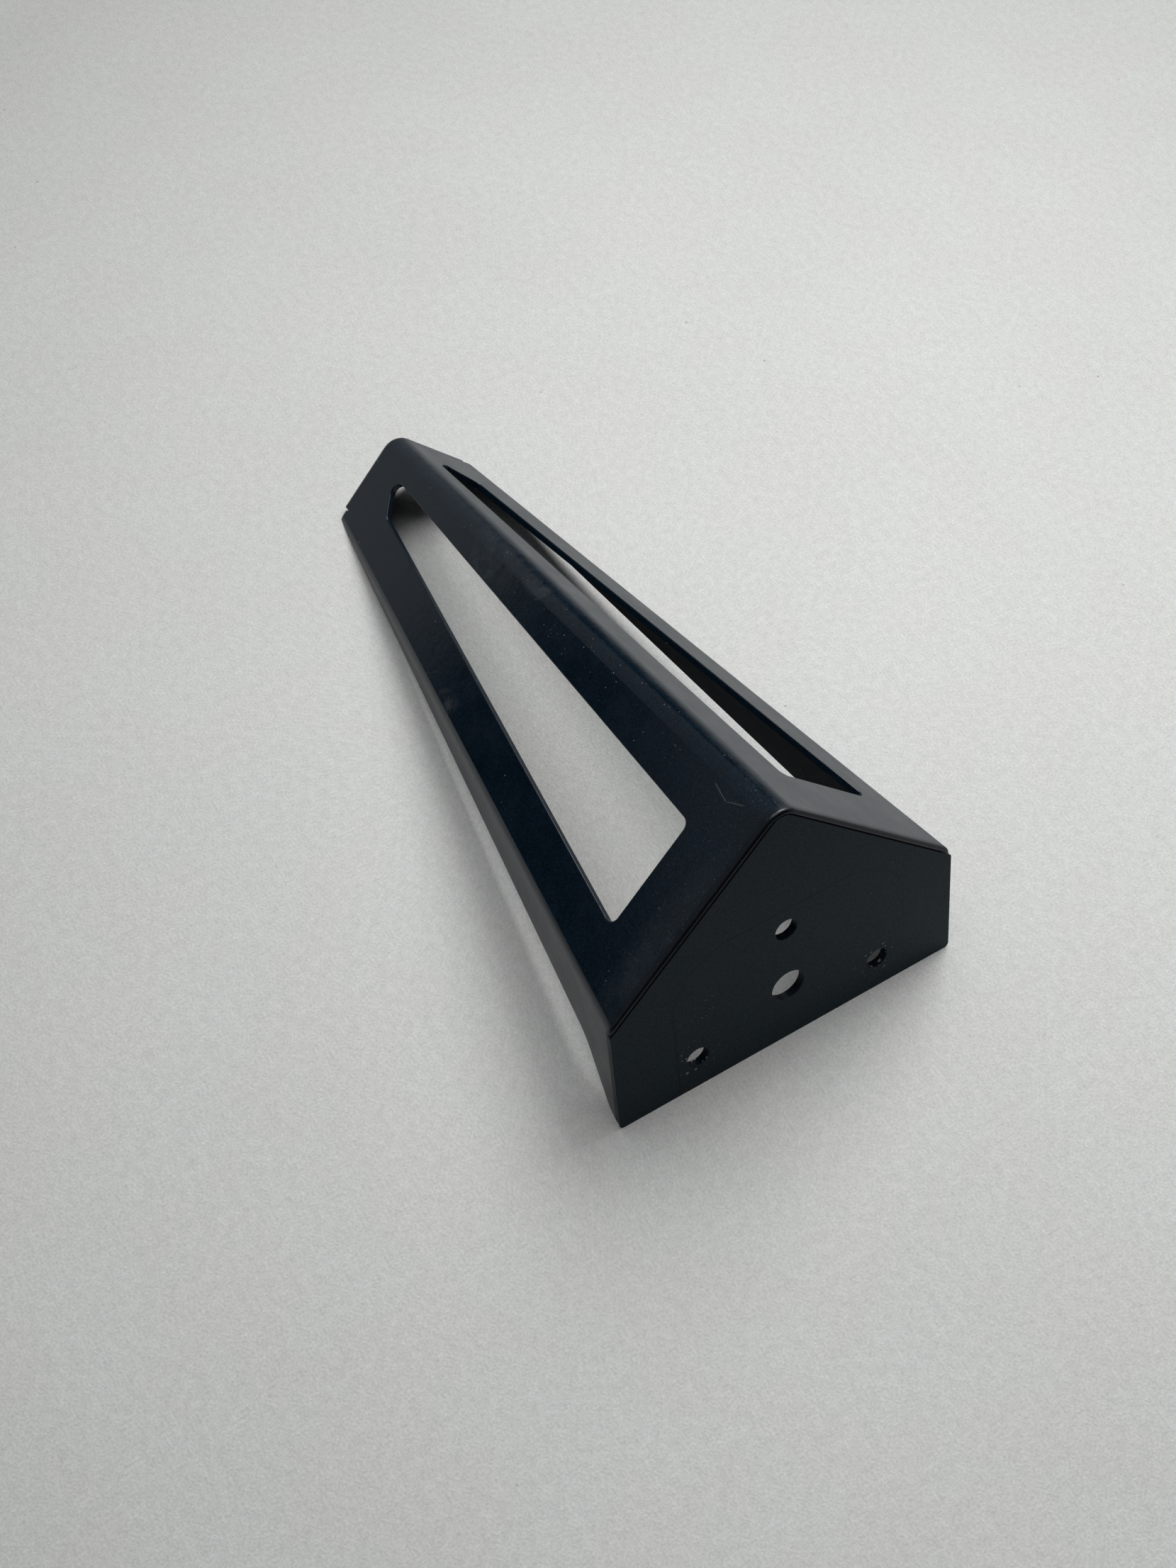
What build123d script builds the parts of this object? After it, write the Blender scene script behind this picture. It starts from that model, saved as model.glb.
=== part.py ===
"""Tapered furniture leg: a folded sheet body with two long windows and a welded mounting plate.

The leg is drawn in its own leg frame and then laid on its open back:
  leg frame X  minus the distance from the mounting plate's outer face (the foot is at -LEG_HEIGHT)
  leg frame Y  across the leg
  leg frame Z  up the mounting plate, from its long bottom edge towards the ridge
The ridge runs square to the mounting plate. The back leans, so the leg narrows towards the foot.
Laid down, the plate's bottom edge and the two foot corners touch z = 0.
"""
from build123d import *
from math import atan2, cos, degrees, radians, sin, tan
import os

# ---- driving dimensions, millimetres ----
LEG_HEIGHT = 171.5            # mounting face to foot face, square to both
BACK_LEAN = 17.2              # degrees between the open back and the plate's normal
PLATE_WIDTH = 88.0            # across the walls at the plate's bottom edge
EAVE_WIDTH = 86.6             # across the walls at the eaves, where the slopes begin
EAVE_HEIGHT = 31.5            # up the plate, bottom edge to eaves
FOOT_WIDTH = 38.7             # across the eaves at the foot
RIDGE_HEIGHT = 70.0           # up the plate, bottom edge to the ridge's sharp corner
SHEET = 1.5                   # body sheet thickness
PLATE_THICKNESS = 2.0

RIDGE_RADIUS = 5.0            # outside bend radii
EAVE_RADIUS = 3.0
FOOT_BEND_RADIUS = 1.3

WINDOW_WIDE_END = 16.4        # plate face to the window's wide end
WINDOW_RIDGE_SHARE = 0.285    # share of the slope left as the strip beside the ridge
WINDOW_EAVE_STRIPS = {1: 10.7, -1: 12.2}    # strips left beside the right and left eaves
WINDOW_NARROW_RIDGE = 161.0   # plate face to the narrow end, on its ridge side
WINDOW_NARROW_EAVE = 153.5    # and on its eave side
WINDOW_WIDE_RADIUS = 2.0
WINDOW_NARROW_RADIUS = 2.4
WINDOW_SOFT_EDGE = 0.25       # rounding of the windows' outer edge
WINDOW_SOFT_MARGIN = 4.0      # no bend line of the sheet is nearer to a window's edge than this

KNEE_DEPTH = 15.9             # wall's lower edge leaves its straight run here, from the plate face
KNEE_HEIGHT = 13.9            # and this far up the plate
TAB_LENGTH = 5.2              # short run along the back beside the plate
KNEE_RADIUS = 9.0
TAB_RADIUS = 3.0

LIP = 0.9                     # the slopes' outer skin runs on over the plate's edge, this thick
LIP_SETBACK = 0.2             # and stops this far behind the mounting face
LIP_RADIUS = 0.8
LIP_GAP = 0.25                # groove between lip and plate
PLATE_EDGE_RADIUS = 0.5       # rounding where the plate turns into the walls
PLATE_CORNER_RADIUS = 1.2     # its two bottom corners

FLAP_WIDTH = 10.0             # foot flaps, folded in from the slopes
FLAP_MITRE_GAP = 1.0          # between the two flaps, under the ridge
FLAP_END = 3.0                # flap's end to the eave corner
RELIEF_WIDTH = 0.5            # bend relief slot beside each flap's end
RELIEF_DEPTH = 2.8
FOOT_CORNER_SETBACK = 2.1     # the eave corners stop short of the foot face

CENTRE_HOLE_DIAMETER = 8.4    # clears an M8 hanger bolt
CENTRE_HOLE_HEIGHT = 16.6     # up the plate, from its bottom edge
SCREW_HOLE_DIAMETER = 5.6     # clears a 5 mm wood screw
TOP_SCREW_HEIGHT = 34.5
LOW_SCREW_HEIGHT = 9.4
LOW_SCREW_SPACING = 47.2      # between the two low screw holes

WELD_REACH = 2.4              # reach of a fillet weld from its corner
WELD_CROWN = 0.3              # how far the weld's face bulges
WELD_MARGIN = 5.0             # welds stop this far from the ridge, eaves and lower edge
WELD_END_RADIUS = 0.8

MARGIN = 12.0                 # how far cutting shapes run past what they cut
TOUCH = 0.02                  # closer than this counts as touching
MIDDLE = 0.5                  # half way along an edge
LONG_SHARE = 0.9              # an edge over this share of the leg's height runs its whole length
ROOM = 2 * PLATE_WIDTH        # side of the blocks that cut across the whole leg

# ---- values worked out from them ----
LEAN = radians(BACK_LEAN)
FOOT_BACK_HEIGHT = LEG_HEIGHT * tan(LEAN)          # the back's height, up the plate, at the foot
PITCH = atan2(RIDGE_HEIGHT - EAVE_HEIGHT, EAVE_WIDTH / 2)
WALL_SPREAD = (PLATE_WIDTH - EAVE_WIDTH) / 2 / EAVE_HEIGHT    # each wall's lean outwards


def eave_at(depth):
    """Sharp right-hand eave corner (y, z) at this distance from the plate's face."""
    share = depth / LEG_HEIGHT
    y = (EAVE_WIDTH + (FOOT_WIDTH - EAVE_WIDTH) * share) / 2
    return y, RIDGE_HEIGHT - y * tan(PITCH)


def slope_width(depth):
    """Ridge corner to eave corner along the slope."""
    return eave_at(depth)[0] / cos(PITCH)


def slope_point(depth, down):
    """Point of the right slope's outer face, a distance down from the ridge corner."""
    return Vector(-depth, down * cos(PITCH), RIDGE_HEIGHT - down * sin(PITCH))


def section(depth, run_down):
    """Outer outline of the leg at one depth, its walls run down past the back."""
    y, z = eave_at(depth)
    low_y = y + run_down * WALL_SPREAD
    outline = Polyline((low_y, z - run_down), (y, z), (0, RIDGE_HEIGHT), (-y, z),
                       (-low_y, z - run_down), close=True)
    return across_plane(depth) * make_face(outline)


def outer_form():
    """The leg's filled outer shape with rounded ridge and eaves, before its back is trimmed."""
    run_down = EAVE_HEIGHT + MARGIN
    form = loft([section(0, run_down), section(LEG_HEIGHT, run_down)], ruled=True)
    long_edges = form.edges().filter_by(lambda edge: edge.length > LEG_HEIGHT * LONG_SHARE)
    ridge = long_edges.sort_by(Axis.Z)[-1]
    form = fillet(ridge, RIDGE_RADIUS)
    y, z = eave_at(LEG_HEIGHT / 2)
    eaves = [form.edges().sort_by_distance((-LEG_HEIGHT / 2, side * y, z))[0] for side in (1, -1)]
    return fillet(eaves, EAVE_RADIUS)


def back_profile():
    """Side view of what is kept: the walls' lower edge, with its knee and tab, and all above."""
    top = RIDGE_HEIGHT + MARGIN
    rise = (FOOT_BACK_HEIGHT - KNEE_HEIGHT) / (LEG_HEIGHT - KNEE_DEPTH)
    past_foot = (-LEG_HEIGHT - MARGIN, FOOT_BACK_HEIGHT + MARGIN * rise)
    past_plate = (MARGIN, -MARGIN * tan(LEAN))
    tab = (-TAB_LENGTH, TAB_LENGTH * tan(LEAN))
    knee = (-KNEE_DEPTH, KNEE_HEIGHT)
    outline = Polyline(past_plate, tab, knee, past_foot, (past_foot[0], top), (MARGIN, top), close=True)
    face = make_face(outline)
    for corner, radius in ((tab, TAB_RADIUS), (knee, KNEE_RADIUS)):
        vertex = face.vertices().sort_by_distance((*corner, 0))[0]
        face = fillet(vertex, radius)
    plane = Plane(origin=(0, 0, 0), x_dir=(1, 0, 0), z_dir=(0, -1, 0))
    return extrude(plane * face, PLATE_WIDTH, both=True)


def window(side):
    """Cutter for the long window in one slope."""
    strip = WINDOW_EAVE_STRIPS[side]
    outer = [(WINDOW_WIDE_END, WINDOW_RIDGE_SHARE * slope_width(WINDOW_WIDE_END)),
             (WINDOW_WIDE_END, slope_width(WINDOW_WIDE_END) - strip),
             (WINDOW_NARROW_EAVE, slope_width(WINDOW_NARROW_EAVE) - strip),
             (WINDOW_NARROW_RIDGE, WINDOW_RIDGE_SHARE * slope_width(WINDOW_NARROW_RIDGE))]
    points = [slope_point(*corner) for corner in outer]
    across = points[1] - points[0]
    normal = across.cross(points[3] - points[0])
    plane = Plane(origin=points[0], x_dir=across, z_dir=normal)
    flat = [plane.to_local_coords(point) for point in points]
    face = make_face(Polyline(*[(p.X, p.Y) for p in flat], close=True))
    radii = [WINDOW_WIDE_RADIUS, WINDOW_WIDE_RADIUS, WINDOW_NARROW_RADIUS, WINDOW_NARROW_RADIUS]
    for point, radius in zip(flat, radii):
        vertex = face.vertices().sort_by_distance((point.X, point.Y, 0))[0]
        face = fillet(vertex, radius)
    cutter = extrude(plane * face, 4 * SHEET, both=True)
    return cutter if side > 0 else mirror(cutter, about=Plane.XZ)


def soften_window(shell, side):
    """Rounds the window's outer edge, all the way round."""
    found = []
    for edge in shell.edges():
        middle = edge.position_at(MIDDLE)
        off_slope = (RIDGE_HEIGHT - middle.Z) * cos(PITCH) - side * middle.Y * sin(PITCH)
        down = (RIDGE_HEIGHT - middle.Z) * sin(PITCH) + side * middle.Y * cos(PITCH)
        inside = WINDOW_SOFT_MARGIN < down < slope_width(-middle.X) - WINDOW_SOFT_MARGIN
        between = WINDOW_WIDE_END - TOUCH < -middle.X < WINDOW_NARROW_RIDGE + TOUCH
        if abs(off_slope) < TOUCH and inside and between:
            found.append(edge)
    return fillet(found, WINDOW_SOFT_EDGE)


def across_plane(depth):
    """Plane square to the leg, its local x and y along leg Y and Z."""
    return Plane(origin=(-depth, 0, 0), x_dir=(0, 1, 0), z_dir=(1, 0, 0))


def foot_flap(form, side):
    """One flap of the foot face: a strip folded in from the slope's end, mitred under the ridge."""
    along = Vector(cos(PITCH), -sin(PITCH), 0)
    inward = Vector(-sin(PITCH), -cos(PITCH), 0)
    ridge = Vector(0, RIDGE_HEIGHT, 0)
    top = SHEET / 2
    end = slope_width(LEG_HEIGHT) - FLAP_END
    corners = [ridge + along * run + inward * depth
               for run, depth in ((-MARGIN, top), (end, top), (end, FLAP_WIDTH), (-MARGIN, FLAP_WIDTH))]
    outline = make_face(Polyline(*corners, close=True))
    keep = Pos((FLAP_MITRE_GAP + ROOM) / 2, FOOT_BACK_HEIGHT + ROOM / 2) * Rectangle(ROOM, ROOM)
    flap = (extrude(across_plane(LEG_HEIGHT) * (outline & keep), SHEET) & form).solid()
    return flap if side > 0 else mirror(flap, about=Plane.XZ)


def foot_reliefs(side):
    """Cutters at one foot corner: the bend relief slot and the corner's setback."""
    end = slope_width(LEG_HEIGHT) - FLAP_END
    tilt = Rot(-degrees(PITCH), 0, 0)
    slot = Box(2 * RELIEF_DEPTH, RELIEF_WIDTH, 6 * SHEET)
    slot = Pos(*slope_point(LEG_HEIGHT, end + RELIEF_WIDTH / 2)) * tilt * slot
    setback = Box(2 * FOOT_CORNER_SETBACK, 2 * MARGIN, 6 * MARGIN)
    setback = Pos(*slope_point(LEG_HEIGHT, end + MARGIN)) * tilt * setback
    cutters = [slot, setback]
    return cutters if side > 0 else [mirror(cutter, about=Plane.XZ) for cutter in cutters]


def shell_at_foot(shell, form):
    """Adds the two foot flaps, their bend reliefs and the rounded fold."""
    for side in (1, -1):
        shell = shell + foot_flap(form, side)
    for side in (1, -1):
        for cutter in foot_reliefs(side):
            shell = shell - cutter
    fold = outer_edges(shell, LEG_HEIGHT, FOOT_BACK_HEIGHT)
    return fillet(fold, FOOT_BEND_RADIUS)


def outer_edges(shell, depth, lowest):
    """Edges on the leg's outside at one depth, above a height up the plate."""
    ridge_top = RIDGE_HEIGHT - RIDGE_RADIUS * (1 / cos(PITCH) - 1)
    found = []
    for edge in shell.edges():
        middle = edge.position_at(MIDDLE)
        ends = [edge.position_at(0), edge.position_at(1)]
        flat = max(abs(point.X + depth) for point in (*ends, middle)) < TOUCH
        below_slope = (RIDGE_HEIGHT - middle.Z) * cos(PITCH) - abs(middle.Y) * sin(PITCH)
        on_slope = abs(below_slope) < TOUCH
        on_ridge = abs(middle.Y) < RIDGE_RADIUS and middle.Z > ridge_top - SHEET / 2
        on_eave = abs(middle.Y) > eave_at(depth)[0] - SHEET
        if flat and (on_slope or on_ridge or on_eave) and middle.Z > lowest:
            found.append(edge)
    return found


def seat_outline(inset):
    """Region under the slopes, at this distance from their outer faces. It runs on past the walls."""
    reach = PLATE_WIDTH
    top = RIDGE_HEIGHT - inset / cos(PITCH)
    side = top - reach * tan(PITCH)
    bottom = side - MARGIN
    face = make_face(Polyline((reach, bottom), (reach, side), (0, top), (-reach, side),
                              (-reach, bottom), close=True))
    return fillet(face.vertices().sort_by(Axis.Y)[-1:], RIDGE_RADIUS - inset)


def shell_at_plate(shell):
    """Cuts the plate's seat, leaves a lip of the slopes beside the plate and rounds it."""
    seat = extrude(across_plane(PLATE_THICKNESS) * seat_outline(LIP), PLATE_THICKNESS + MARGIN)
    front = Pos(ROOM / 2 - LIP_SETBACK, 0, 0) * Box(ROOM, ROOM, ROOM)
    shell = shell - seat - front
    lip = outer_edges(shell, LIP_SETBACK, EAVE_HEIGHT - LIP_RADIUS)
    return fillet(lip, LIP_RADIUS)


def body_shell(form):
    along = form.faces().sort_by(Axis.X)
    openings = [along[0], along[-1], form.faces().sort_by(Axis.Z)[0]]
    shell = offset(form, amount=-SHEET, openings=openings)
    shell = shell & back_profile()
    for side in (1, -1):
        shell = soften_window(shell - window(side), side)
    shell = shell_at_foot(shell, form)
    shell = shell_at_plate(shell)
    return shell.solid()


def above_back():
    """Everything above the plane of the open back."""
    return Rot(0, BACK_LEAN, 0) * Pos(0, 0, ROOM / 2) * Box(ROOM, ROOM, ROOM)


def mounting_plate(form):
    """Fills the mouth: flush with the walls' outer faces, and inside the slopes' lip."""
    plane = across_plane(0)
    blank = extrude(plane * seat_outline(LIP + LIP_GAP), -PLATE_THICKNESS)
    plate = (blank & form & above_back()).solid()
    plate = fillet(side_edges(plate, 0, PLATE_THICKNESS), PLATE_CORNER_RADIUS)
    plate = fillet(side_edges(plate, EAVE_HEIGHT / 2, EAVE_HEIGHT), PLATE_EDGE_RADIUS)
    low_y = LOW_SCREW_SPACING / 2
    holes = [(0, CENTRE_HOLE_HEIGHT, CENTRE_HOLE_DIAMETER),
             (0, TOP_SCREW_HEIGHT, SCREW_HOLE_DIAMETER),
             (low_y, LOW_SCREW_HEIGHT, SCREW_HOLE_DIAMETER),
             (-low_y, LOW_SCREW_HEIGHT, SCREW_HOLE_DIAMETER)]
    for y, z, diameter in holes:
        plate = plate - plane * Pos(y, z, 0) * Cylinder(diameter / 2, 4 * PLATE_THICKNESS)
    return plate.solid()


def side_edges(plate, low, high):
    """The plate's edges over its two walls, by the height of their middles, but not at its back."""
    found = []
    for edge in plate.edges():
        middle = edge.position_at(MIDDLE)
        outside = abs(middle.Y) > EAVE_WIDTH / 2 - SHEET
        if outside and low < middle.Z < high and middle.X > TOUCH - PLATE_THICKNESS:
            found.append(edge)
    return found


def bead(start, finish, inward):
    """Fillet weld along the inside corner between the plate's back and the sheet."""
    run = finish - start
    plane = Plane(origin=start, x_dir=(-1, 0, 0), z_dir=run)
    across = 1 if plane.y_dir.dot(inward) > 0 else -1
    back = PLATE_THICKNESS
    toe = (back + WELD_REACH, 0)
    throat = (back + WELD_REACH / 2 + WELD_CROWN, across * (WELD_REACH / 2 + WELD_CROWN))
    crest = (back, across * WELD_REACH)
    edges = [ThreePointArc(toe, throat, crest), Polyline(crest, (back, 0), toe)]
    weld = extrude(plane * make_face(edges), run.length)
    return fillet(weld.edges().filter_by(GeomType.CIRCLE), WELD_END_RADIUS).solid()


def slope_weld(side):
    inward = Vector(0, -side * sin(PITCH), -cos(PITCH))
    ends = [slope_point(0, down) for down in (WELD_MARGIN, slope_width(0) - WELD_MARGIN)]
    start, finish = [Vector(0, side * end.Y, end.Z) + inward * SHEET for end in ends]
    return bead(start, finish, inward)


def wall_weld(side, shell, plate):
    """The walls narrow towards the foot, so this bead is trimmed to the two pieces it joins."""
    inward = Vector(0, -side, -WALL_SPREAD).normalized()
    start, finish = [Vector(0, side * (PLATE_WIDTH / 2 - height * WALL_SPREAD), height) + inward * SHEET
                     for height in (WELD_MARGIN, EAVE_HEIGHT - WELD_MARGIN)]
    weld = bead(start, finish, inward)
    return (weld - shell - plate).solids().sort_by(SortBy.VOLUME)[-1]


def lay_down(solid):
    """Turn the leg frame so that the open back lies on z = 0."""
    return Rot(0, -BACK_LEAN, 0) * solid


def main():
    form = outer_form()
    shell = body_shell(form)
    plate = mounting_plate(form)
    pieces = {
        "body_shell": shell,
        "mounting_plate": plate,
        "weld_right_slope": slope_weld(1),
        "weld_left_slope": slope_weld(-1),
        "weld_right_wall": wall_weld(1, shell, plate),
        "weld_left_wall": wall_weld(-1, shell, plate),
    }
    laid = {name: lay_down(solid) for name, solid in pieces.items()}
    boxes = [solid.bounding_box() for solid in laid.values()]
    middle_x = (min(box.min.X for box in boxes) + max(box.max.X for box in boxes)) / 2
    bottom_z = min(box.min.Z for box in boxes)
    os.makedirs("parts", exist_ok=True)
    for name, solid in laid.items():
        export_step(Pos(-middle_x, 0, -bottom_z) * solid, f"parts/{name}.step")


main()
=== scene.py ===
"""Black sheet-metal furniture leg lying on its open back on a pale cloth, in soft daylight."""

from math import cos, radians, sin

import bmesh
import bpy
from mathutils import Matrix, Vector


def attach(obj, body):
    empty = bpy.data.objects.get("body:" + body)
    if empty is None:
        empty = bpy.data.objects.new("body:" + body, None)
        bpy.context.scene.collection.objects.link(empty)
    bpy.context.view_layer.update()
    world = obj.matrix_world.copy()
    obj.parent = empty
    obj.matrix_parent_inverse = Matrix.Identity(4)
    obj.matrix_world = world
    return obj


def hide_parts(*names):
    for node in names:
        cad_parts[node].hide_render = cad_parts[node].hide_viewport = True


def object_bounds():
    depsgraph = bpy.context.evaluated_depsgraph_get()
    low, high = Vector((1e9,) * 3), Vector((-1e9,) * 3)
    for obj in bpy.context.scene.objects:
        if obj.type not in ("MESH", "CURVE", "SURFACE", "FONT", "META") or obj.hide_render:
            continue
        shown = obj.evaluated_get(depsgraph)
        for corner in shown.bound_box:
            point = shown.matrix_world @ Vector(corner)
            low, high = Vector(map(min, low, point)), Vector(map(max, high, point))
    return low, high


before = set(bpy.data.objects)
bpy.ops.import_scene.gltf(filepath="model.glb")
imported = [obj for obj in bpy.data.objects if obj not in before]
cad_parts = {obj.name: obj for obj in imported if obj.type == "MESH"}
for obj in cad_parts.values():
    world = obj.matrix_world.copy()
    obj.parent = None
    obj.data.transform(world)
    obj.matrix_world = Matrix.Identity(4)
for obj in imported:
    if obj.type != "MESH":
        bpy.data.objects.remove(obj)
CAD_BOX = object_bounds()

MM = 0.001

# ---- the leg's own frame: the mounting plate's bottom edge is the row's largest x ----
BACK_LEAN = radians(17.2)
PLATE_EDGE_X = max(corner[0] for corner in CAD_BOX)
PLATE_NORMAL = Vector((cos(BACK_LEAN), 0, sin(BACK_LEAN)))
PLATE_UP = Vector((-sin(BACK_LEAN), 0, cos(BACK_LEAN)))
SLOPE_PITCH = radians(41.64)
RIDGE_HEIGHT = 70.0           # up the plate, millimetres
LOW_HOLE_ACROSS = 23.6
LOW_HOLE_HEIGHT = 9.4

# ---- camera ----
CAMERA_FROM_PLATE_EDGE = Vector((101.753, -136.913, 355.8)) * MM
CAMERA_AZIMUTH = radians(53.642)
CAMERA_ELEVATION = radians(58.031)
CAMERA_ROLL = radians(6.043)
LENS = 40.55
SENSOR = 36.0


def make_camera():
    forward = Vector((-sin(CAMERA_AZIMUTH) * cos(CAMERA_ELEVATION),
                      cos(CAMERA_AZIMUTH) * cos(CAMERA_ELEVATION), -sin(CAMERA_ELEVATION)))
    level_right = forward.cross(Vector((0, 0, 1))).normalized()
    level_up = level_right.cross(forward)
    right = level_right * cos(CAMERA_ROLL) + level_up * sin(CAMERA_ROLL)
    up = level_up * cos(CAMERA_ROLL) - level_right * sin(CAMERA_ROLL)
    data = bpy.data.cameras.new("camera")
    data.lens = LENS
    data.sensor_fit = "AUTO"
    data.sensor_width = SENSOR
    data.clip_start = 0.01
    camera = bpy.data.objects.new("camera", data)
    turn = Matrix((right, up, -forward)).transposed().to_4x4()
    camera.matrix_world = Matrix.Translation(Vector((PLATE_EDGE_X, 0, 0)) + CAMERA_FROM_PLATE_EDGE) @ turn
    bpy.context.scene.collection.objects.link(camera)
    bpy.context.scene.camera = camera


# ---- node helpers ----
class Nodes:
    """Short calls for building one node tree."""

    def __init__(self, tree):
        self.tree = tree
        self.tree.nodes.clear()

    def add(self, kind, inputs=None, **settings):
        node = self.tree.nodes.new(kind)
        for name, value in settings.items():
            setattr(node, name, value)
        for name, value in (inputs or {}).items():
            self.feed(node.inputs[name], value)
        return node

    def feed(self, socket, value):
        if isinstance(value, bpy.types.NodeSocket):
            self.tree.links.new(value, socket)
        else:
            socket.default_value = value

    def math(self, operation, a, b=0.0, clamp=False):
        node = self.add("ShaderNodeMath", operation=operation, use_clamp=clamp)
        self.feed(node.inputs[0], a)
        self.feed(node.inputs[1], b)
        return node.outputs[0]

    def product(self, *values):
        result = values[0]
        for value in values[1:]:
            result = self.math("MULTIPLY", result, value)
        return result

    def remap(self, value, low, high, out_low=0.0, out_high=1.0):
        node = self.add("ShaderNodeMapRange", {"Value": value, "From Min": low, "From Max": high,
                                               "To Min": out_low, "To Max": out_high}, clamp=True)
        return node.outputs["Result"]

    def noise(self, vector, scale, detail, roughness):
        node = self.add("ShaderNodeTexNoise", {"Vector": vector, "Scale": scale, "Detail": detail,
                                               "Roughness": roughness})
        return node.outputs["Fac"]

    def along(self, vector, direction):
        node = self.add("ShaderNodeVectorMath", operation="DOT_PRODUCT")
        self.feed(node.inputs[0], vector)
        self.feed(node.inputs[1], direction)
        return node.outputs["Value"]

    def distance(self, a, b):
        return self.math("SQRT", self.math("ADD", self.math("MULTIPLY", a, a), self.math("MULTIPLY", b, b)))

    def mix(self, factor, first, second):
        node = self.add("ShaderNodeMix", data_type="RGBA")
        self.feed(node.inputs["Factor"], factor)
        self.feed(node.inputs[6], first)
        self.feed(node.inputs[7], second)
        return node.outputs[2]

    def leg_axes(self, place):
        """Depth behind the plate, distance across and height up the plate, in millimetres."""
        edge = Vector((PLATE_EDGE_X, 0, 0))
        depth = self.math("SUBTRACT", edge.dot(PLATE_NORMAL) / MM, self.along(place, PLATE_NORMAL / MM))
        across = self.along(place, (0, 1 / MM, 0))
        height = self.math("SUBTRACT", self.along(place, PLATE_UP / MM), edge.dot(PLATE_UP) / MM)
        return depth, across, height

    def spot(self, across, along, centre, radius):
        """1 inside an ellipse, fading to 0 at its rim."""
        a = self.math("DIVIDE", self.math("SUBTRACT", across, centre[0]), radius[0])
        b = self.math("DIVIDE", self.math("SUBTRACT", along, centre[1]), radius[1])
        return self.remap(self.distance(a, b), 1.0, 0.35)

    def stroke(self, u, v, start, end, width):
        """A thin straight line between two points, soft at its ends."""
        run = Vector((end[0] - start[0], end[1] - start[1]))
        way = run.normalized()
        du = self.math("SUBTRACT", u, (start[0] + end[0]) / 2)
        dv = self.math("SUBTRACT", v, (start[1] + end[1]) / 2)
        length = self.math("ADD", self.math("MULTIPLY", du, way.x), self.math("MULTIPLY", dv, way.y))
        off = self.math("SUBTRACT", self.math("MULTIPLY", du, way.y), self.math("MULTIPLY", dv, way.x))
        near = self.remap(self.math("ABSOLUTE", off), width, width * 0.3)
        within = self.remap(self.math("ABSOLUTE", length), run.length * 0.5, run.length * 0.35)
        return self.math("MULTIPLY", near, within)

    def specks(self, place, scale, size, kept):
        """Small round specks in some of the cells; kept is the share of cells that hold one."""
        cells = self.add("ShaderNodeTexVoronoi", {"Vector": place, "Scale": scale}, feature="F1")
        pick = self.add("ShaderNodeSeparateColor", {"Color": cells.outputs["Color"]})
        limit = self.math("MULTIPLY", pick.outputs["Green"], size)
        near = self.math("LESS_THAN", cells.outputs["Distance"], limit)
        return self.math("MULTIPLY", near, self.math("LESS_THAN", pick.outputs["Red"], kept))


def material(name):
    made = bpy.data.materials.new(name)
    made.use_nodes = True
    return made, Nodes(made.node_tree)


def either(n, *masks):
    result = masks[0]
    for mask in masks[1:]:
        result = n.math("MAXIMUM", result, mask)
    return result


# ---- the black coat ----
BODY_TINT = (0.0024, 0.0084, 0.0160, 1)
PLATE_TINT = (0.0060, 0.0185, 0.0270, 1)
DUST_TINT = (0.30, 0.32, 0.34, 1)
# painted shade: near-black tint painted into the seam groove, the inner wall faces and the plate's rim; it
# also colours the plate's faint outline
PAINTED_SHADE_TINT = (0.0001, 0.0026, 0.0070, 1)
NO_PAINTED_SHADE = 0.0
SATIN_ROUGHNESS = 0.36        # the right slope and the outer walls
GLOSSY_ROUGHNESS = 0.11       # the left slope and the ridge
WELD_ROUGHNESS = 0.28
PLATE_ROUGHNESS = 0.42
BODY_SPECULAR = 0.5
PLATE_SPECULAR = 0.10
BODY_GRAIN = 0.25             # strength of the fine grain's relief
WELD_GRAIN = 0.30
PLATE_GRAIN = 0.15


def coat_surface(n, place, tint, dust, haze, dark, roughness, specular, grain_depth):
    """Coat with fine grain, dust specks and hazy scuffs; the shade mask paints in near-black painted shade
    and the plate's faint outline.
    """
    grain = n.noise(place, 2600.0, 3.0, 0.7)
    cloudy = n.noise(place, 120.0, 4.0, 0.6)
    peel = n.noise(place, 600.0, 2.0, 0.5)
    tone = n.math("MULTIPLY", n.remap(grain, 0.35, 0.68, 0.35, 1.9), n.remap(cloudy, 0.3, 0.7, 0.85, 1.15))
    base = n.add("ShaderNodeHueSaturation", {"Color": tint, "Value": tone}).outputs["Color"]
    hazed = n.mix(n.math("MULTIPLY", haze, 0.05), base, DUST_TINT)
    # painted shade: the mask turns the coat near-black where shade falls, and draws the plate's faint
    # outline
    painted_shade_colour = n.mix(dark, hazed, PAINTED_SHADE_TINT)
    colour = n.mix(dust, painted_shade_colour, DUST_TINT)
    rough = n.math("ADD", n.remap(cloudy, 0.3, 0.7, -0.03, 0.04), roughness)
    rough = n.math("ADD", rough, n.math("MULTIPLY", haze, 0.12))
    rough = n.math("ADD", rough, n.math("MULTIPLY", dust, 0.5), clamp=True)
    relief = n.add("ShaderNodeBump", {"Height": dust, "Strength": 0.5, "Distance": 0.0001})
    fine = n.add("ShaderNodeBump", {"Height": grain, "Strength": grain_depth, "Distance": 0.00003,
                                    "Normal": relief.outputs["Normal"]})
    orange = n.add("ShaderNodeBump", {"Height": peel, "Strength": 0.10, "Distance": 0.0001,
                                      "Normal": fine.outputs["Normal"]})
    shader = n.add("ShaderNodeBsdfPrincipled", {
        "Base Color": colour, "Roughness": rough, "Normal": orange.outputs["Normal"],
        "Specular IOR Level": specular, "IOR": 1.5})
    n.add("ShaderNodeOutputMaterial", {"Surface": shader.outputs["BSDF"]})


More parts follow.
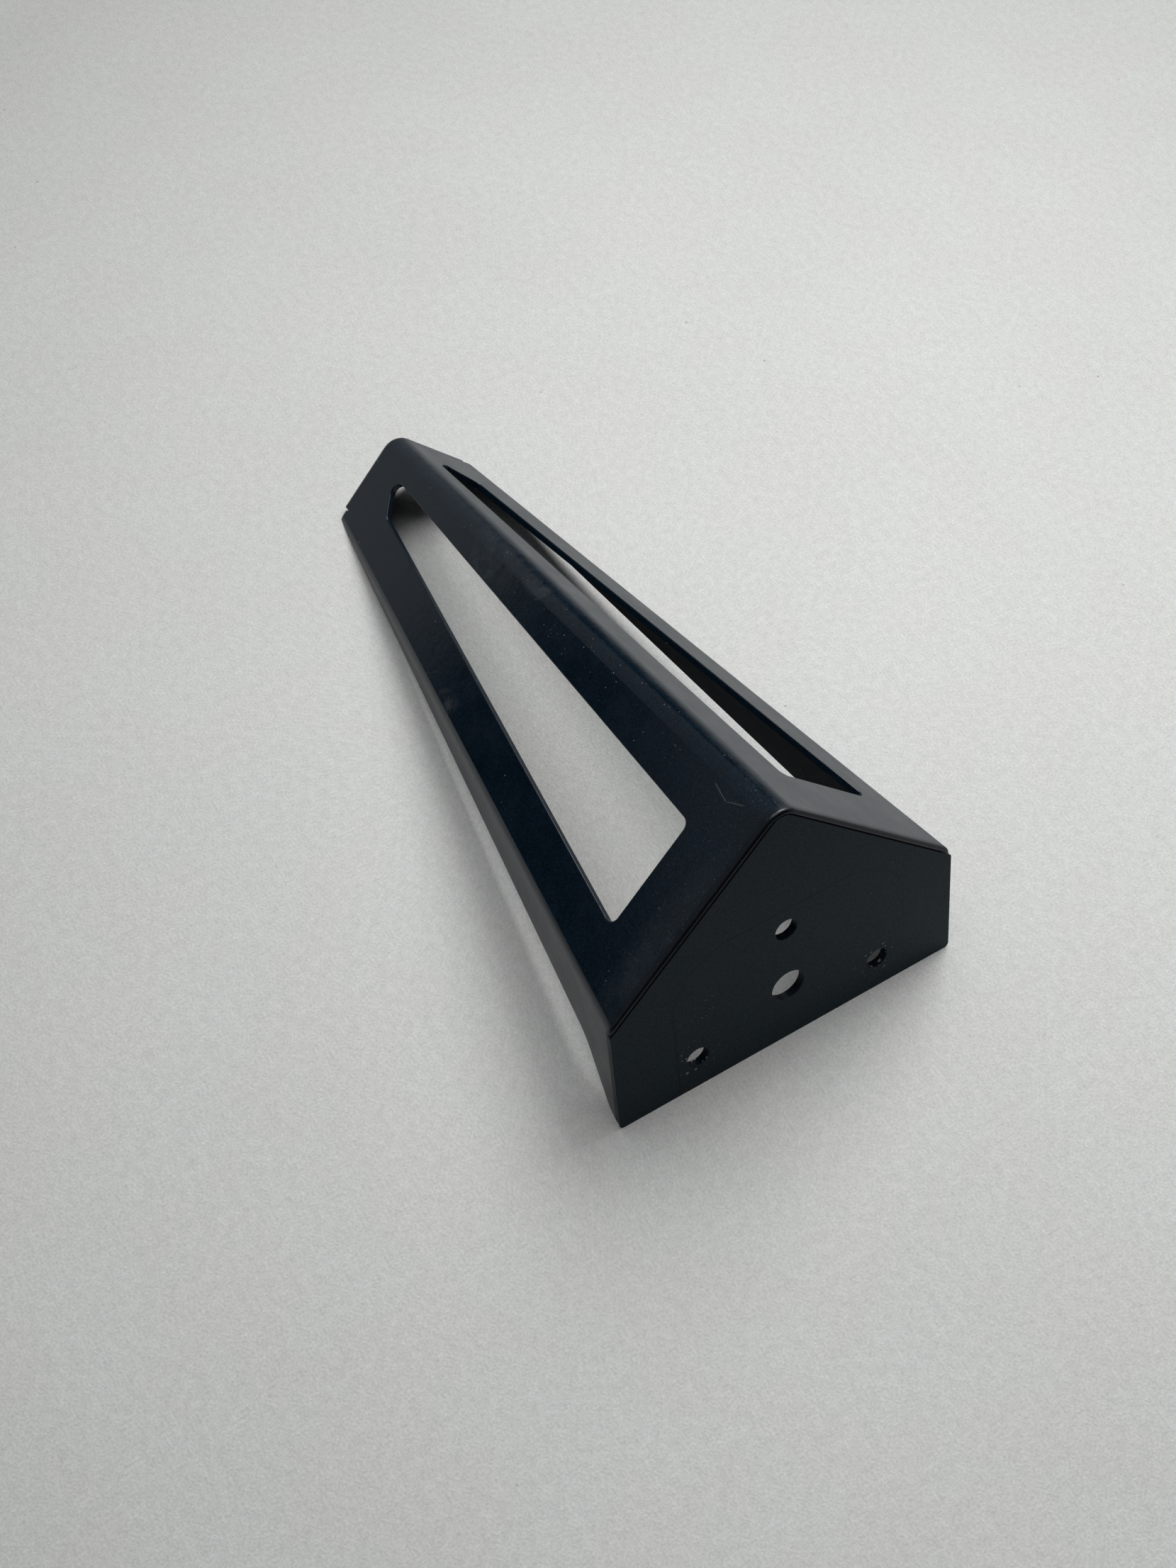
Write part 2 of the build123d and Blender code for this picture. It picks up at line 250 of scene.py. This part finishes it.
def body_coat():
    made, n = material("black_coat_body")
    place = n.add("ShaderNodeTexCoord").outputs["Object"]
    depth, across, height = n.leg_axes(place)
    drop = n.math("SUBTRACT", RIDGE_HEIGHT, height)
    down = n.math("SUBTRACT", n.math("MULTIPLY", drop, sin(SLOPE_PITCH)),
                  n.math("MULTIPLY", across, cos(SLOPE_PITCH)))
    patches = n.noise(place, 260.0, 3.0, 0.6)
    wobble = n.math("MULTIPLY", n.math("SUBTRACT", n.noise(place, 190.0, 1.0, 0.5), 0.5), 3.0)
    # dust: thin everywhere, thicker along the ridge and on the wide end of the left slope
    by_ridge = n.math("MULTIPLY", n.spot(depth, across, (62.0, -3.0), (66.0, 7.0)),
                      n.remap(patches, 0.50, 0.60))
    wide_end = n.math("MULTIPLY", n.spot(depth, down, (6.0, 24.0), (14.0, 44.0)), 0.10)
    dust = either(n, n.math("MULTIPLY", n.specks(place, 1500.0, 0.24, 0.010), 0.6),
                  n.math("MULTIPLY", by_ridge, n.specks(place, 2400.0, 0.36, 0.08)),
                  n.math("MULTIPLY", wide_end, n.specks(place, 2600.0, 0.40, 0.20)))
    # scuffs beside the ridge and on the strip beside the left eave, and a dull film on the wide end
    haze = either(n, n.spot(depth, down, (112.0, 6.0), (14.0, 7.0)),
                  n.spot(depth, down, (93.0, 3.0), (7.0, 3.0)),
                  n.spot(depth, down, (95.0, 37.0), (6.0, 3.0)))
    haze = n.math("MULTIPLY", haze, n.remap(patches, 0.40, 0.62))
    wide_film = n.math("MULTIPLY", n.spot(depth, down, (3.5, 38.0), (7.0, 27.0)),
                       n.remap(patches, 0.30, 0.70, 0.25, 0.75))
    haze = n.math("MAXIMUM", haze, wide_film)
    # a fibre caught in the coat beside the plate, and fine scratches
    along_leg = n.math("ADD", depth, wobble)
    fibre = either(n, n.stroke(along_leg, across, (17.0, -4.4), (12.0, -5.4), 0.13),
                   n.stroke(along_leg, across, (12.4, -5.4), (7.6, -3.8), 0.13))
    scratch = either(n, n.stroke(along_leg, down, (109.0, 39.5), (104.0, 32.5), 0.14),
                     *[n.stroke(along_leg, down, (97.0 - step, 35.0), (94.5 - step, 39.0), 0.10)
                       for step in (0.0, 1.0, 2.0)])
    dust = either(n, dust, n.math("MULTIPLY", fibre, 0.22), n.math("MULTIPLY", scratch, 0.05))
    # painted shade: the groove along the seam beside the plate and the inner faces of the side walls are
    # painted near-black for the shade that falls there
    facing = n.add("ShaderNodeSeparateXYZ", {"Vector": n.add("ShaderNodeNewGeometry").outputs["Normal"]})
    outward = n.math("MULTIPLY", facing.outputs["Y"], n.math("SIGN", across))
    inner_wall = n.math("MULTIPLY", n.remap(outward, -0.75, -0.9), n.remap(facing.outputs["Z"], 0.45, 0.3))
    seam = n.remap(depth, 2.4, 0.9)
    dark = n.math("MAXIMUM", seam, inner_wall)
    # the left slope and the ridge came out glossier than the other faces
    gloss = n.math("MULTIPLY", n.remap(facing.outputs["Y"], 0.40, 0.05),
                   n.remap(facing.outputs["Z"], 0.35, 0.6))
    roughness = n.math("ADD", n.remap(gloss, 0.0, 1.0, SATIN_ROUGHNESS, GLOSSY_ROUGHNESS),
                       n.math("MULTIPLY", inner_wall, 0.45))
    roughness = n.math("ADD", roughness, n.math("MULTIPLY", seam, 0.14))
    coat_surface(n, place, BODY_TINT, dust, haze, dark, roughness, BODY_SPECULAR, BODY_GRAIN)
    return made


def plate_coat():
    made, n = material("black_coat_plate")
    place = n.add("ShaderNodeTexCoord").outputs["Object"]
    depth, across, height = n.leg_axes(place)
    patches = n.noise(place, 260.0, 3.0, 0.6)
    # dust: thin everywhere, with chips of coat round the two low screw holes
    side = n.math("SUBTRACT", n.math("ABSOLUTE", across), LOW_HOLE_ACROSS)
    up = n.math("SUBTRACT", height, LOW_HOLE_HEIGHT)
    ring = n.remap(n.distance(side, up), 6.5, 4.0)
    dust = either(n, n.math("MULTIPLY", n.specks(place, 1500.0, 0.24, 0.008), 0.6),
                  n.math("MULTIPLY", ring, n.specks(place, 1500.0, 0.42, 0.22)),
                  n.math("MULTIPLY", ring, n.specks(place, 800.0, 0.40, 0.16)),
                  n.math("MULTIPLY", n.spot(across, height, (-21.0, 24.0), (3.5, 6.0)),
                         n.specks(place, 1800.0, 0.34, 0.20)))
    # painted shade: the plate's edge beside the slopes' lip and its side faces are painted near-black for
    # the shade in the groove there
    below = n.math("SUBTRACT", n.math("SUBTRACT", RIDGE_HEIGHT, height),
                   n.math("MULTIPLY", n.math("ABSOLUTE", across), sin(SLOPE_PITCH) / cos(SLOPE_PITCH)))
    lip_painted_shade = n.remap(n.math("MULTIPLY", below, cos(SLOPE_PITCH)), 1.5, 1.2)
    rim = n.math("MAXIMUM", lip_painted_shade, n.remap(depth, 0.1, 0.5))
    # a faint rounded outline in a darker colour on the plate's face
    off_middle = n.math("ABSOLUTE", n.math("SUBTRACT", across, 1.0))
    beside = n.math("MAXIMUM", n.math("SUBTRACT", off_middle, 14.0), 0.0)
    above = n.math("MAXIMUM", n.math("SUBTRACT", height, 25.0), 0.0)
    off = n.math("ABSOLUTE", n.math("SUBTRACT", n.distance(beside, above), 15.6))
    fade = n.remap(n.noise(place, 45.0, 1.0, 0.5), 0.40, 0.56)
    outline = n.product(n.remap(off, 0.28, 0.10), fade, n.remap(depth, 0.4, 0.2), 0.8)
    haze = n.math("MULTIPLY", n.spot(across, height, (-21.5, 25.5), (3.0, 3.0)), n.remap(patches, 0.4, 0.6))
    # the faint outline together with the painted shade on the rim
    dark = n.math("MAXIMUM", outline, n.math("MULTIPLY", rim, 0.8))
    coat_surface(n, place, PLATE_TINT, dust, haze, dark, PLATE_ROUGHNESS, PLATE_SPECULAR, PLATE_GRAIN)
    return made


def weld_coat():
    made, n = material("black_coat_weld")
    place = n.add("ShaderNodeTexCoord").outputs["Object"]
    patches = n.noise(place, 700.0, 3.0, 0.6)
    dust = n.specks(place, 900.0, 0.22, 0.02)
    haze = n.remap(patches, 0.55, 0.7)
    # the welds get no painted shade
    coat_surface(n, place, BODY_TINT, dust, haze, NO_PAINTED_SHADE, WELD_ROUGHNESS, BODY_SPECULAR, WELD_GRAIN)
    return made


# ---- weld beads behind the plate ----
PLATE_THICKNESS = 2.0
SHEET = 1.5
PLATE_WIDTH = 88.0
EAVE_WIDTH = 86.6
EAVE_HEIGHT = 31.5
WELD_REACH = 2.3              # reach of the bead from its corner
WELD_MARGIN = 5.0             # beads stop this far from the ridge, eaves and lower edge
RIPPLE_PITCH = 1.1            # one ripple for each pulse of the torch
RIPPLE_DEPTH = 0.10           # share of the reach
RING_STEP = 0.25              # spacing of the bead's cross-sections
RING_POINTS = 10              # points round each cross-section's face


def leg_point(depth, across, height):
    """A point given in millimetres: behind the plate's face, across the leg, up the plate."""
    base = Vector((PLATE_EDGE_X, across * MM, 0))
    return base - PLATE_NORMAL * (depth * MM) + PLATE_UP * (height * MM)


def bead_reach(along, turn, length, seed):
    """Distance from the corner to the bead's face: crescent ripples, slow waver, round ends."""
    phase = (along + 0.5 * sin(2 * turn)) / RIPPLE_PITCH
    ripple = (phase % 1.0) ** 2 * RIPPLE_DEPTH
    waver = 0.04 * sin(0.9 * along + seed) + 0.03 * sin(0.37 * along + 2 * seed)
    from_end = min(along, length - along)
    rounded = min(1.0, 0.2 + from_end / WELD_REACH) ** 0.5
    belly = 1 - 0.11 * sin(2 * turn)
    return WELD_REACH * belly * (1 - ripple + waver) * rounded


def bead(node, start, finish, inward, seed):
    """A fillet weld that runs from start to finish, points given across and up the plate."""
    run = finish - start
    rings = round(run.length / RING_STEP)
    points = []
    for ring in range(rings + 1):
        along = run.length * ring / rings
        corner = start + run.normalized() * along
        points.append(leg_point(PLATE_THICKNESS, corner.x, corner.y))
        for step in range(RING_POINTS + 1):
            turn = radians(90) * step / RING_POINTS
            reach = bead_reach(along, turn, run.length, seed)
            spot = corner + inward * (reach * sin(turn))
            points.append(leg_point(PLATE_THICKNESS + reach * cos(turn), spot.x, spot.y))
    size = RING_POINTS + 2
    faces = [(a * size + b, a * size + (b + 1) % size, (a + 1) * size + (b + 1) % size, (a + 1) * size + b)
             for a in range(rings) for b in range(size)]
    faces += [tuple(range(size))[::-1], tuple(rings * size + b for b in range(size))]
    mesh = bpy.data.meshes.new(node + "_bead")
    mesh.from_pydata(points, [], faces)
    mesh.validate()
    made = bmesh.new()
    made.from_mesh(mesh)
    bmesh.ops.recalc_face_normals(made, faces=made.faces)
    made.to_mesh(mesh)
    made.free()
    mesh.shade_smooth()
    piece = bpy.data.objects.new(node + "_bead", mesh)
    bpy.context.scene.collection.objects.link(piece)
    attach(piece, "root")
    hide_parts(node)
    return piece


def make_welds(coat):
    slope_end = EAVE_WIDTH / 2 / cos(SLOPE_PITCH) - WELD_MARGIN
    spread = (PLATE_WIDTH - EAVE_WIDTH) / 2 / EAVE_HEIGHT
    for side, word in ((1, "right"), (-1, "left")):
        inward = Vector((-side * sin(SLOPE_PITCH), -cos(SLOPE_PITCH)))
        ends = [Vector((side * down * cos(SLOPE_PITCH), RIDGE_HEIGHT - down * sin(SLOPE_PITCH)))
                + inward * SHEET for down in (WELD_MARGIN, slope_end)]
        slope = bead(f"weld_{word}_slope", *ends, inward, 1.0 + side)
        # the walls' taper towards the foot is left out, so these beads sink up to 0.6 mm into the walls
        inward = Vector((-side, -spread)).normalized()
        ends = [Vector((side * (PLATE_WIDTH / 2 - height * spread), height)) + inward * SHEET
                for height in (WELD_MARGIN, EAVE_HEIGHT - WELD_MARGIN)]
        wall = bead(f"weld_{word}_wall", *ends, inward, 3.0 + side)
        for piece in (slope, wall):
            piece.data.materials.append(coat)


# ---- surroundings ----
CLOTH_TINT = (0.800, 0.822, 0.808, 1)
CLOTH_WARM = (0.812, 0.806, 0.800, 1)
PAINTED_LIGHT_CENTRE = (0.035, 0.090)       # centre of the pool of daylight painted into the cloth's colour
PAINTED_LIGHT_REACH = 0.36
LINT_TINT = (0.25, 0.25, 0.25, 1)
FLOOR_HALF = 2.5
DAYLIGHT = (1.0, 1.0, 0.99)

BACKDROP_RADIUS = 2.4
BACKDROP_LIFT = 0.0005        # the ring's height above the floor
BACKDROP_LOW = 0.46           # brightness at the floor
BACKDROP_HIGH = 0.60          # and high up
FADE_START = 0.56             # distances from the object between which the ring hides the floor
FADE_END = 1.00
RING_SIDES = 96


def pale_cloth():
    made, n = material("pale_cloth")
    place = n.add("ShaderNodeTexCoord").outputs["Object"]
    weave = n.noise(place, 1700.0, 2.0, 0.6)
    patches = n.noise(place, 16.0, 2.0, 0.5)
    axes = n.add("ShaderNodeSeparateXYZ", {"Vector": place})
    # painted light: the cloth is painted darker with distance from one bright place, a pool of daylight
    # painted into its colour
    away = n.distance(n.math("SUBTRACT", axes.outputs["X"], PAINTED_LIGHT_CENTRE[0]),
                      n.math("SUBTRACT", axes.outputs["Y"], PAINTED_LIGHT_CENTRE[1]))
    painted_light_falloff = n.math("POWER", n.remap(away, 0.0, PAINTED_LIGHT_REACH), 1.6)
    light = n.math("SUBTRACT", 1.0, n.math("MULTIPLY", painted_light_falloff, 0.38))
    mottle = n.noise(place, 420.0, 4.0, 0.7)
    tone = n.product(n.remap(weave, 0.3, 0.7, 0.90, 1.09), n.remap(mottle, 0.3, 0.7, 0.93, 1.055),
                     n.remap(patches, 0.3, 0.7, 0.985, 1.015), light)
    cast = n.mix(n.remap(n.noise(place, 30.0, 3.0, 0.6), 0.42, 0.60), CLOTH_TINT, CLOTH_WARM)
    plain = n.add("ShaderNodeHueSaturation", {"Color": cast, "Value": tone}).outputs["Color"]
    lint = n.specks(place, 260.0, 0.12, 0.02)
    colour = n.mix(n.math("MULTIPLY", lint, 0.5), plain, LINT_TINT)
    bump = n.add("ShaderNodeBump", {"Height": n.math("ADD", weave, mottle), "Strength": 0.35,
                                    "Distance": 0.0003})
    shader = n.add("ShaderNodeBsdfPrincipled", {
        "Base Color": colour, "Roughness": 0.9, "Normal": bump.outputs["Normal"],
        "Specular IOR Level": 0.15})
    n.add("ShaderNodeOutputMaterial", {"Surface": shader.outputs["BSDF"]})
    return made


def make_floor():
    mesh = bpy.data.meshes.new("floor")
    corners = [(FLOOR_HALF * x, FLOOR_HALF * y, 0) for x, y in ((-1, -1), (1, -1), (1, 1), (-1, 1))]
    mesh.from_pydata(corners, [], [(0, 1, 2, 3)])
    floor = bpy.data.objects.new("floor", mesh)
    floor.data.materials.append(pale_cloth())
    bpy.context.scene.collection.objects.link(floor)


def make_backdrop():
    """A pale studio wall far behind everything, for views near the horizon; it lights nothing.

    A ring just above the floor fades in with distance, so that the floor meets the wall without an edge."""
    made, n = material("backdrop")
    axes = n.add("ShaderNodeSeparateXYZ", {"Vector": n.add("ShaderNodeTexCoord").outputs["Object"]}).outputs
    tone = n.remap(axes["Z"], 0.0, BACKDROP_RADIUS / 2, BACKDROP_LOW, BACKDROP_HIGH)
    cover = n.math("MAXIMUM", n.remap(n.distance(axes["X"], axes["Y"]), FADE_START, FADE_END),
                   n.remap(axes["Z"], 2 * BACKDROP_LIFT, 4 * BACKDROP_LIFT))
    glow = n.add("ShaderNodeEmission", {"Color": (0.98, 1.0, 0.99, 1), "Strength": tone})
    clear = n.add("ShaderNodeBsdfTransparent")
    blend = n.add("ShaderNodeMixShader", {0: cover, 1: clear.outputs["BSDF"], 2: glow.outputs["Emission"]})
    n.add("ShaderNodeOutputMaterial", {"Surface": blend.outputs["Shader"]})
    mesh = bpy.data.meshes.new("backdrop")
    shape = bmesh.new()
    bmesh.ops.create_icosphere(shape, subdivisions=5, radius=BACKDROP_RADIUS)
    turns = [radians(360) * step / RING_SIDES for step in range(RING_SIDES)]
    inner, outer = [[shape.verts.new((reach * cos(turn), reach * sin(turn), BACKDROP_LIFT))
                     for turn in turns] for reach in (FADE_START, BACKDROP_RADIUS)]
    for step in range(RING_SIDES):
        shape.faces.new((inner[step - 1], outer[step - 1], outer[step], inner[step]))
    shape.to_mesh(mesh)
    shape.free()
    mesh.shade_smooth()
    backdrop = bpy.data.objects.new("backdrop", mesh)
    backdrop.data.materials.append(made)
    bpy.context.scene.collection.objects.link(backdrop)
    for ray in ("diffuse", "glossy", "transmission", "volume_scatter", "shadow"):
        setattr(backdrop, f"visible_{ray}", False)


def area_light(name, direction, distance, size, power):
    data = bpy.data.lights.new(name, "AREA")
    data.shape = "DISK"
    data.size = size
    data.energy = power
    data.color = DAYLIGHT
    light = bpy.data.objects.new(name, data)
    way = Vector(direction).normalized()
    turn = way.to_track_quat("Z", "Y").to_matrix().to_4x4()
    light.matrix_world = Matrix.Translation(way * distance) @ turn
    light.visible_camera = False
    bpy.context.scene.collection.objects.link(light)


ROOM_DOOR = 0.35              # radiance of the bright doorway beyond the leg's foot
DOOR_WAY = (-0.978, -0.020, -0.2)
DOOR_EDGE = 0.784             # cosine of the doorway's half angle
ROOM_DIM = 0.01               # radiance of the dim wall round it
ROOM_HIGH = 0.20              # of the ceiling
CEILING_EDGE = 0.37           # where the tilted ceiling line starts
ROOM_NEAR = 0.03              # radiance of the unlit side that the plate faces
DOOR_SOFTNESS = 0.004
CEILING_SOFTNESS = 0.015


def make_room():
    """A dim room with a bright doorway, a grey ceiling and an unlit side that the plate faces."""
    world = bpy.data.worlds.new("room")
    world.use_nodes = True
    n = Nodes(world.node_tree)
    way = n.add("ShaderNodeTexCoord").outputs["Generated"]
    door = n.remap(n.along(way, DOOR_WAY), DOOR_EDGE - DOOR_SOFTNESS, DOOR_EDGE + DOOR_SOFTNESS,
                   0.0, ROOM_DOOR)
    rise = n.along(way, (0, -0.235, 1))
    ceiling = n.remap(rise, CEILING_EDGE - CEILING_SOFTNESS, CEILING_EDGE + CEILING_SOFTNESS,
                      ROOM_DIM, ROOM_HIGH)
    side = n.remap(n.along(way, (1, 0, 0)), 0.0, 0.3)
    far = n.math("MAXIMUM", door, ceiling)
    strength = n.math("ADD", n.math("MULTIPLY", far, n.math("SUBTRACT", 1.0, side)),
                      n.math("MULTIPLY", side, ROOM_NEAR))
    background = n.add("ShaderNodeBackground", {"Color": (0.97, 0.99, 1.0, 1), "Strength": strength})
    n.add("ShaderNodeOutputWorld", {"Surface": background.outputs["Background"]})
    bpy.context.scene.world = world


def main():
    bpy.context.scene.view_settings.view_transform = "Standard"
    make_camera()
    make_room()
    area_light("window", (-0.42, 0.58, 0.76), 1.4, 0.9, 12.5)
    area_light("ceiling", (-0.25, 0.05, 1.0), 1.5, 1.5, 8.5)
    make_floor()
    make_backdrop()
    for name, coat in (("mounting_plate", plate_coat()), ("body_shell", body_coat())):
        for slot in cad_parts[name].material_slots:
            slot.material = coat
    make_welds(weld_coat())


main()
